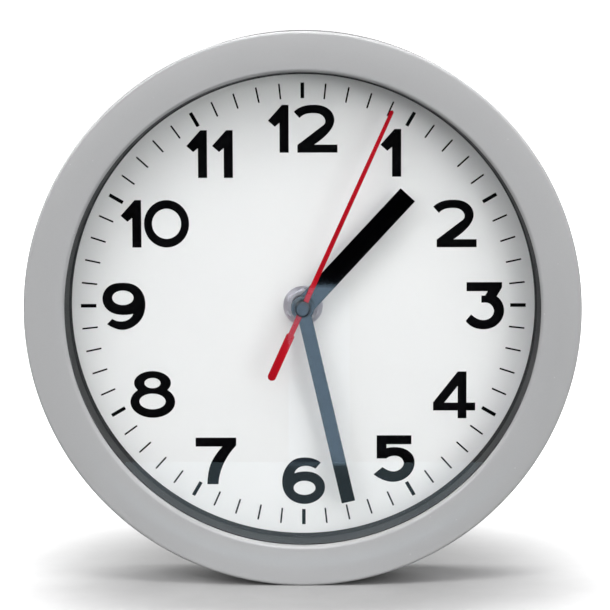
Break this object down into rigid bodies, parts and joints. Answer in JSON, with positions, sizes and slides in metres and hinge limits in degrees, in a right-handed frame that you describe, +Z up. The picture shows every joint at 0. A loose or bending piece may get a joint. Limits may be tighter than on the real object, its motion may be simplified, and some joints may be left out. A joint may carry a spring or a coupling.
{
  "type": "wall clock",
  "caption": "Round quartz wall clock with flat glass, white dial with hour numerals, three hands, geared movement and removable battery.",
  "frame": {"origin": "where the axis of the hands meets the wall plane, on the flat rear rim", "axes": "+Z up and +X right for someone reading the dial, +Y into the wall; the dial faces -Y"},
  "size_m": [0.2, 0.04, 0.2],
  "materials": {
    "bezel_paint": "satin silver-grey paint on moulded plastic",
    "glass": "clear flat glass",
    "ring_plastic": "grey plastic",
    "gasket_rubber": "black foam rubber",
    "rear_plastic": "dark grey moulded plastic",
    "screw_steel": "zinc-plated steel",
    "dial_white": "matt white printed sheet",
    "print_black": "black printing ink",
    "nickel": "nickel plate",
    "hand_black": "black paint on aluminium",
    "hand_red": "red paint on aluminium",
    "cap_black": "black plastic",
    "gear_plastic": "natural white acetal",
    "knob_plastic": "black plastic",
    "magnet": "bonded magnet",
    "iron": "soft iron",
    "bobbin_plastic": "black plastic",
    "copper": "enamelled copper wire",
    "board": "brown phenolic board",
    "resin_black": "black epoxy",
    "crystal_can": "drawn metal can",
    "cell_sleeve": "plain printed sleeve",
    "movement_plastic": "black plastic"
  },
  "bodies": {
    "case": {"bezel": "bezel_paint", "glass_lens": "glass", "inner_ring": "ring_plastic", "gasket_ring": "gasket_rubber", "rear_case": "rear_plastic", "case_screws": "screw_steel", "dial": "dial_white", "minute_track": "print_black", "dial_numerals": "print_black", "rubber_washer": "gasket_rubber", "metal_washer": "nickel", "hex_nut": "nickel", "stator": "iron", "coil_core": "iron", "coil_bobbin": "bobbin_plastic", "coil_winding": "copper", "circuit_board": "board", "chip_cover": "resin_black", "quartz_crystal": "crystal_can", "contact_positive": "nickel", "contact_negative": "nickel", "movement_case": "movement_plastic", "movement_cover": "movement_plastic"},
    "minute": {"minute_hand": "hand_black", "minute_wheel": "gear_plastic"},
    "hour": {"hour_hand": "hand_black", "hour_wheel": "gear_plastic"},
    "seconds": {"second_hand": "hand_red", "second_hand_cap": "cap_black", "second_wheel": "gear_plastic"},
    "motion_work": {"motion_wheel": "gear_plastic", "setting_knob": "knob_plastic"},
    "third": {"third_wheel": "gear_plastic"},
    "intermediate": {"intermediate_wheel": "gear_plastic"},
    "rotor": {"rotor_pinion": "gear_plastic", "rotor_magnet": "magnet"},
    "battery": {"battery_cell": "cell_sleeve", "battery_terminals": "nickel"}
  },
  "joints": [
    {"name": "minute_turn", "type": "hinge", "parent": "case", "child": "minute", "pos_m": [0, 0, 0], "axis": [0, 1, 0], "continuous": true},
    {"name": "hour_turn", "type": "hinge", "parent": "case", "child": "hour", "pos_m": [0, 0, 0], "axis": [0, 1, 0], "continuous": true},
    {"name": "seconds_turn", "type": "hinge", "parent": "case", "child": "seconds", "pos_m": [0, 0, 0], "axis": [0, 1, 0], "continuous": true},
    {"name": "motion_work_turn", "type": "hinge", "parent": "case", "child": "motion_work", "pos_m": [-0.00831, 0, 0.0048], "axis": [0, 1, 0], "continuous": true},
    {"name": "third_turn", "type": "hinge", "parent": "case", "child": "third", "pos_m": [0.00884, 0, 0], "axis": [0, 1, 0], "continuous": true},
    {"name": "intermediate_turn", "type": "hinge", "parent": "case", "child": "intermediate", "pos_m": [0.00224, 0, 0.00835], "axis": [0, 1, 0], "continuous": true},
    {"name": "rotor_turn", "type": "hinge", "parent": "case", "child": "rotor", "pos_m": [0.00813, 0, 0.0133], "axis": [0, 1, 0], "continuous": true},
    {"name": "battery_out", "type": "slide", "parent": "case", "child": "battery", "axis": [0, 1, 0], "range_m": [0, 0.03]}
  ],
  "couplings": [
    {"joint": "hour_turn", "follows": "minute_turn", "ratio": 0.083333},
    {"joint": "seconds_turn", "follows": "minute_turn", "ratio": 60},
    {"joint": "motion_work_turn", "follows": "minute_turn", "ratio": -0.33333},
    {"joint": "third_turn", "follows": "minute_turn", "ratio": -7.5},
    {"joint": "intermediate_turn", "follows": "minute_turn", "ratio": -300},
    {"joint": "rotor_turn", "follows": "minute_turn", "ratio": 1800}
  ]
}
